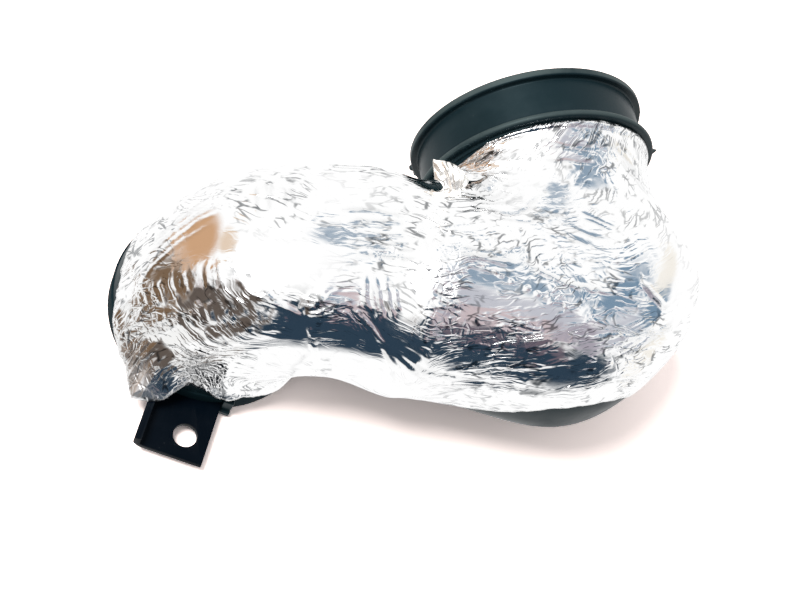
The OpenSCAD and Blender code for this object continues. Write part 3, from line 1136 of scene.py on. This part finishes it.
    def drawn(self, place: Array) -> tuple[Array, Array]:
        """Height of the single fold lines, and how near each place is to one of them.

        Each line adds height * exp(-(distance / width)^2). It is weaker towards its ends, and bent a little
        by noise.
        """
        total = np.zeros(place.shape[:-1])
        nearness = np.zeros(place.shape[:-1])
        shake = np.stack([soft_noise(place / 2.6, 201 + k) - 0.5 for k in range(3)], axis=-1)
        bent = place + 1.1 * shake
        for shade_painted_crease in (fold for k, group in enumerate(FOLD_GROUPS) for fold in group.creases(FOLD_SEED + k)):
            line = shade_painted_crease.polyline(self.sweep)
            margin = 3.0 * shade_painted_crease.width + 1.0
            low, high = line.min(axis=0) - margin, line.max(axis=0) + margin
            mask = ((bent > low) & (bent < high)).all(axis=-1)
            spot = bent[mask]
            a, d = line[:-1][None], (line[1:] - line[:-1])[None]
            t = np.clip(((spot[:, None] - a) * d).sum(-1) / (d * d).sum(-1), 0.0, 1.0)
            gap = np.linalg.norm(spot[:, None] - a - t[..., None] * d, axis=-1)
            best = gap.argmin(axis=1)
            share = (best + t[np.arange(len(best)), best]) / (len(line) - 1)
            fade = ease(0.0, 0.18, share) * (1.0 - ease(0.82, 1.0, share)) * 0.8 + 0.2
            bell = np.exp(-((gap.min(axis=1) / shade_painted_crease.width) ** 2)) * fade
            total[mask] += shade_painted_crease.height * bell
            nearness[mask] = np.maximum(nearness[mask], bell)
        return total, nearness

    def relief(self, place: Array, row: Array, column: Array) -> tuple[Array, dict[str, Array]]:
        """Height of the crinkles over the skin.

        Broad flats and small folds come from crossing triangle waves, long wrinkles from ridges that are
        stretched along the tube, and the large folds are drawn one by one. Calm and crumpled patches set
        how strong each kind is.

        Args:
            place: Points of the smooth skin in millimetres.
            row: Shares along the foil.
            column: Shares round the foil.

        Returns:
            Heights in millimetres, and the numbers that the foil's finish reads: how strong the crinkles are,
            the share of painted shade along the folds and the share of upright folds.
        """
        along, across = distances(place)
        calm, crumpled, upright = (np.clip(self.near(place, p), 0.0, 1.0) for p in (CALM, CRUMPLED, UPRIGHT))
        back, front = 1 - ease(0, 0.03, column), ease(0.975, 1, column)
        near_edge = np.maximum.reduce([back, front, 1 - ease(0, 0.02, row), ease(0.975, 1, row)])
        cloud = ease(0.42, 0.72, soft_noise(place / 15.0, 21))
        crinkle = (0.34 + 0.66 * cloud + 0.8 * crumpled) * (1.0 - 0.85 * calm) + 0.4 * near_edge
        flats = creased(place, wavelength=38.0, count=5, seed=31, warp=12.0)
        folds = creased(place, wavelength=9.0, count=5, seed=41, warp=4.0)
        small = creased(place, wavelength=4.2, count=4, seed=51, warp=2.5)
        drift = 7.0 * soft_noise(place / 30.0, 61)
        long_way = np.stack([along / 26.0, (across + drift) / 4.6, 0 * along + 2], axis=-1)
        wrinkles = ridges(long_way, seed=71, sharpness=4.0) * (1.0 - upright)
        up_way = np.stack([along / 3.0, (across + drift) / 17.0, 0 * along + 5], axis=-1)
        stripes = ridges(up_way, seed=81, sharpness=3.0) * upright
        lines, nearness = self.drawn(place)
        height = 0.5 * flats + crumpled * (1.25 * folds + 0.55 * small) + lines
        height += crinkle * (0.12 * folds + 0.26 * wrinkles + 0.3 * stripes)
        height *= 1.0 - 0.8 * ease(0.985, 1.0, np.maximum(row, column))
        # Thin ridges in crumpled patches and the drawn folds carry painted shade
        painted_shade_lines = crumpled * ridges(place / 2.2, seed=91, sharpness=6.0)
        shade_painted_crease = np.clip(0.5 * nearness + 0.35 * painted_shade_lines, 0.0, 1.0)
        masks = {"crinkle": np.clip(crinkle, 0.0, 1.5), "shade_painted_crease": shade_painted_crease, "upright": upright}
        return np.maximum(height, -0.2), masks

    def skirt(self, points: Array, ring: Array, angle: Array) -> Array:
        """Flares the lower edge away from the mouth axis, over the tray and the edge of the bracket."""
        share = 1.0 - ease(1.5, 5.2, ring)
        out = points * [1.0, 1.0, 0.0]
        out /= np.linalg.norm(out, axis=-1, keepdims=True)
        reach, rise = share * between(self.flare, angle), share * between(self.flare, angle, 2)
        return points + out * reach[..., None] + np.array([0.0, 0.0, 1.0]) * rise[..., None]

    def shell_faces(self, fine_size: tuple[int, int], rough_size: tuple[int, int]) -> list[list[int]]:
        """Faces of the outer skin, the coarse inner skin and the strips that join their borders."""
        count, step = math.prod(fine_size), self.coarse
        fine = np.arange(count).reshape(fine_size)
        rough = np.arange(math.prod(rough_size)).reshape(rough_size) + count
        first, last, forward, back = slice(0, 1), slice(-1, None), slice(None), slice(None, None, -1)
        sides = ((first, forward), (last, back), (back, first), (forward, last))
        strips = []
        for side in sides:
            many, few = fine[side].ravel().tolist(), rough[side].ravel().tolist()
            for k in range(len(few) - 1):
                strips.append(few[k : k + 2] + many[k * step : (k + 1) * step + 1][::-1])
        inner = grid_quads(*rough_size)[:, ::-1] + count
        return grid_quads(*fine_size).tolist() + inner.tolist() + strips


@dataclass
class TornFlap:
    """Loose torn end of the foil that stands up in the inside corner of the elbow."""

    metal: Material
    foot: tuple[Triple, ...] = ((74.5, 14.5, 71.0), (77.5, 11.5, 73.5), (80.5, 12.2, 71.2))
    tip: tuple[Triple, ...] = (
        (70.8, 18.0, 72.2), (70.6, 25.0, 74.6), (74.6, 23.2, 76.4), (78.0, 22.6, 75.8), (81.2, 19.6, 75.8),
        (83.6, 16.2, 74.0),
    )
    thickness: float = 0.3
    pleats: float = 6.5

    def build(self) -> Piece:
        """Builds a crumpled fan between its foot and its torn rim, closed by a second skin behind it."""
        t, s = np.linspace(0.0, 1.0, 73), np.linspace(0.0, 1.0, 33)
        low, high = self.spread(self.foot, t), self.spread(self.tip, t)
        points = low[:, None] + (high - low)[:, None] * s[None, :, None]
        pleats = 0.9 * fold(t * self.pleats + 0.2)[:, None] * np.sin(s * 2.6)
        crumple = creased(points, wavelength=3.4, count=4, seed=301, warp=2.0) - 0.5
        rough = 0.8 * crumple * ease(0.0, 0.3, s)
        up = np.array([-0.1, -0.25, 0.96])
        lifted = points + up * (0.6 + 1.6 * np.sin(s * 3.0) + pleats + rough)[..., None]
        shell = np.stack([lifted, lifted - up * self.thickness])
        count = points.shape[0] * points.shape[1]
        quads = grid_quads(*points.shape[:2])
        fine = np.arange(count).reshape(points.shape[:2])
        border = np.concatenate([fine[0], fine[1:, -1], fine[-1, -2::-1], fine[-2:0:-1, 0]])
        after = np.roll(border, -1)
        sides = np.stack([border, after, after + count, border + count], axis=-1)
        faces = np.concatenate([quads, quads[:, ::-1] + count, sides[:, ::-1]])
        piece = make_piece("foil_flap", shell, faces, self.metal, "heat_shield")
        # The flap's folds carry a little painted shade
        for name, value in (("crinkle", 0.8), ("shade_painted_crease", 0.15), ("upright", 0.0)):
            point_values(piece, name, np.full(2 * count, value))
        return piece

    def spread(self, corners: tuple[Triple, ...], share: Array) -> Array:
        """Points at shares of the way along a row of corners, which are evenly spaced in share."""
        places = np.array(corners)
        steps = np.linspace(0, 1, len(places))
        return np.stack([np.interp(share, steps, places[:, axis]) for axis in range(3)], axis=-1)


# Studio


@dataclass(frozen=True)
class Reflection:
    """A soft patch of the room that shiny surfaces show: its direction, reach in degrees and colour."""

    azimuth: float
    elevation: float
    inner: float
    outer: float
    tint: Tone
    share: float = 1.0

    @property
    def direction(self) -> Triple:
        """Unit vector, with the azimuth counted from +Y towards +X."""
        a, e = math.radians(self.azimuth), math.radians(self.elevation)
        return (math.sin(a) * math.cos(e), math.cos(a) * math.cos(e), math.sin(e))


GREY = colour(0.125, 0.1, 0.085)
BROWN = colour(0.2, 0.13, 0.08)
ORANGE = colour(0.63, 0.38, 0.22)
PEACH = colour(0.8, 0.64, 0.5)
ROSE = colour(0.6, 0.52, 0.5)
NAVY = colour(0.026, 0.05, 0.08)
DUSK = colour(0.15, 0.12, 0.15)
MAUVE = colour(0.62, 0.52, 0.54)
VIOLET = colour(0.4, 0.37, 0.43)
LILAC = colour(0.55, 0.56, 0.62)
BLUE = colour(0.19, 0.29, 0.4)
CREAM = colour(0.95, 0.91, 0.84)
FLOOR_WHITE = colour(0.96, 0.96, 0.95)


@dataclass
class Studio:
    """Camera, white room, lamp and pale floor.

    Places are in millimetres, and the camera's turn is in degrees about X, Y and Z. room_light is what falls
    on the part, room_shine what shiny surfaces see between the patches, and floor_seen the colour that the
    floor has for the camera alone, above 1 so that it reads white without more light on the part.
    """

    camera_place: Triple = (-122.6, -208.4, 451.5)
    camera_turn: Triple = (27.317, -19.232, -11.238)
    lens: float = 58.5
    lamp_place: Triple = (-500.0, 120.0, 1100.0)
    lamp_aim: Triple = (60.0, 0.0, 30.0)
    lamp_size: float = 550.0
    lamp_watts: float = 15.0
    floor_half: float = 3000.0
    room_light: Tone = colour(0.52, 0.53, 0.54)
    room_shine: Tone = colour(1.06, 1.06, 1.06)
    floor_tone: Tone = colour(0.8, 0.8, 0.8)
    floor_seen: Tone = colour(2.1, 1.82, 1.72)
    reflections: tuple[Reflection, ...] = (
        Reflection(-118, 8, 18, 38, GREY),
        Reflection(-134, 46, 4, 12, GREY, 0.6),
        Reflection(-78, -12, 10, 26, BROWN),
        Reflection(-54, 12, 8, 22, ORANGE),
        Reflection(-54, 38, 3, 12, PEACH),
        Reflection(-92, 20, 2, 12, ROSE, 0.7),
        Reflection(-92, -50, 14, 26, FLOOR_WHITE),
        Reflection(-112, -34, 9, 18, FLOOR_WHITE),
        Reflection(-150, -26, 4, 14, FLOOR_WHITE),
        Reflection(140, 68, 5, 15, LILAC),
        Reflection(170, 56, 6, 16, MAUVE),
        Reflection(140, 48, 8, 20, VIOLET),
        Reflection(118, 38, 5, 14, LILAC),
        Reflection(-172, 14, 20, 36, NAVY),
        Reflection(-167, 44, 7, 16, NAVY),
        Reflection(158, 16, 14, 28, NAVY),
        Reflection(176, 38, 2, 11, DUSK),
        Reflection(78, 70, 5, 13, BLUE, 0.9),
        Reflection(95, 50, 4, 12, BLUE),
        Reflection(103, 30, 3, 11, BLUE),
        Reflection(22, 63, 1, 7, BLUE, 0.8),
        Reflection(88, 30, 2, 11, CREAM),
        Reflection(118, -2, 2, 14, CREAM),
    )

    def camera(self) -> None:
        """Camera at the photograph's viewing angle."""
        data = bpy.data.cameras.new("camera")
        data.lens = self.lens
        data.sensor_width = 36.0
        camera = place_object("camera", data)
        camera.location = Vector(self.camera_place) * MM
        camera.rotation_euler = [math.radians(v) for v in self.camera_turn]
        bpy.context.scene.camera = camera

    def world(self) -> None:
        """White room; shiny surfaces also show soft darker patches of it."""
        world = bpy.data.worlds.new("room")
        bpy.context.scene.world = world
        desk = clear_desk(world)
        straight = desk.add("TexCoord").outputs["Generated"]
        way = desk.vector("NORMALIZE", desk.stirred(straight, straight, 3.2, 3.0, 0.07))
        shown: object = self.room_shine
        for patch in self.reflections:
            inputs = {0: way, 1: patch.direction}
            near = desk.add("VectorMath", inputs, operation="DOT_PRODUCT").outputs["Value"]
            low, high = math.cos(math.radians(patch.outer)), math.cos(math.radians(patch.inner))
            shown = desk.mix(desk.span(near, low, high, 0.0, patch.share), shown, patch.tint)
        path = desk.add("LightPath").outputs
        tint = desk.mix(path["Is Glossy Ray"], self.room_light, shown)
        seen = desk.math("MAXIMUM", path["Is Camera Ray"], path["Is Transmission Ray"])
        desk.show("Background", {"Color": desk.mix(seen, tint, colour(1.0, 1.0, 1.0)), "Strength": 1.0})

    def lamp(self) -> None:
        """One large soft lamp high on the left, which throws the soft shadow to the lower right."""
        data = bpy.data.lights.new("soft_box", "AREA")
        data.shape = "DISK"
        data.size = self.lamp_size * MM
        data.energy = self.lamp_watts
        lamp = place_object("soft_box", data)
        away = Vector(self.lamp_place) - Vector(self.lamp_aim)
        lamp.location = Vector(self.lamp_place) * MM
        lamp.rotation_euler = away.to_track_quat("Z", "Y").to_euler()

    def floor(self) -> None:
        """Pale floor that reads white and keeps the soft warm shadow."""
        material = bpy.data.materials.new("pale_floor")
        desk = clear_desk(material)
        seen = desk.add("LightPath").outputs["Is Camera Ray"]
        desk.show("BsdfDiffuse", {"Color": desk.mix(seen, self.floor_tone, self.floor_seen)})
        half = self.floor_half * MM
        mesh = bpy.data.meshes.new("floor")
        corners = [(-half, -half, 0), (half, -half, 0), (half, half, 0), (-half, half, 0)]
        mesh.from_pydata(corners, [], [(0, 1, 2, 3)])
        mesh.materials.append(material)
        plane = place_object("floor", mesh)
        plane.visible_glossy = False


def main() -> None:
    """Builds every piece in order."""
    logging.basicConfig(level=logging.INFO)
    bpy.context.scene.view_settings.view_transform = "Standard"
    studio = Studio()
    studio.camera()
    studio.world()
    studio.lamp()
    studio.floor()
    grain = moulded_grain()
    rubber = RUBBER.build(grain)
    sweep = Sweep()
    duct = Duct(sweep, rubber, CUFF_RUBBER_SHADED_COPY.build(grain))
    duct.tube()
    duct.collar()
    duct.cuff()
    Tray(BracketPlace(), rubber).build()
    build_bracket(BRACKET_PAINT.build(grain))
    Foil(sweep, CrinkledFoil().build()).build()
    TornFlap(DULL_FOIL.build()).build()


if __name__ == "__main__":
    main()
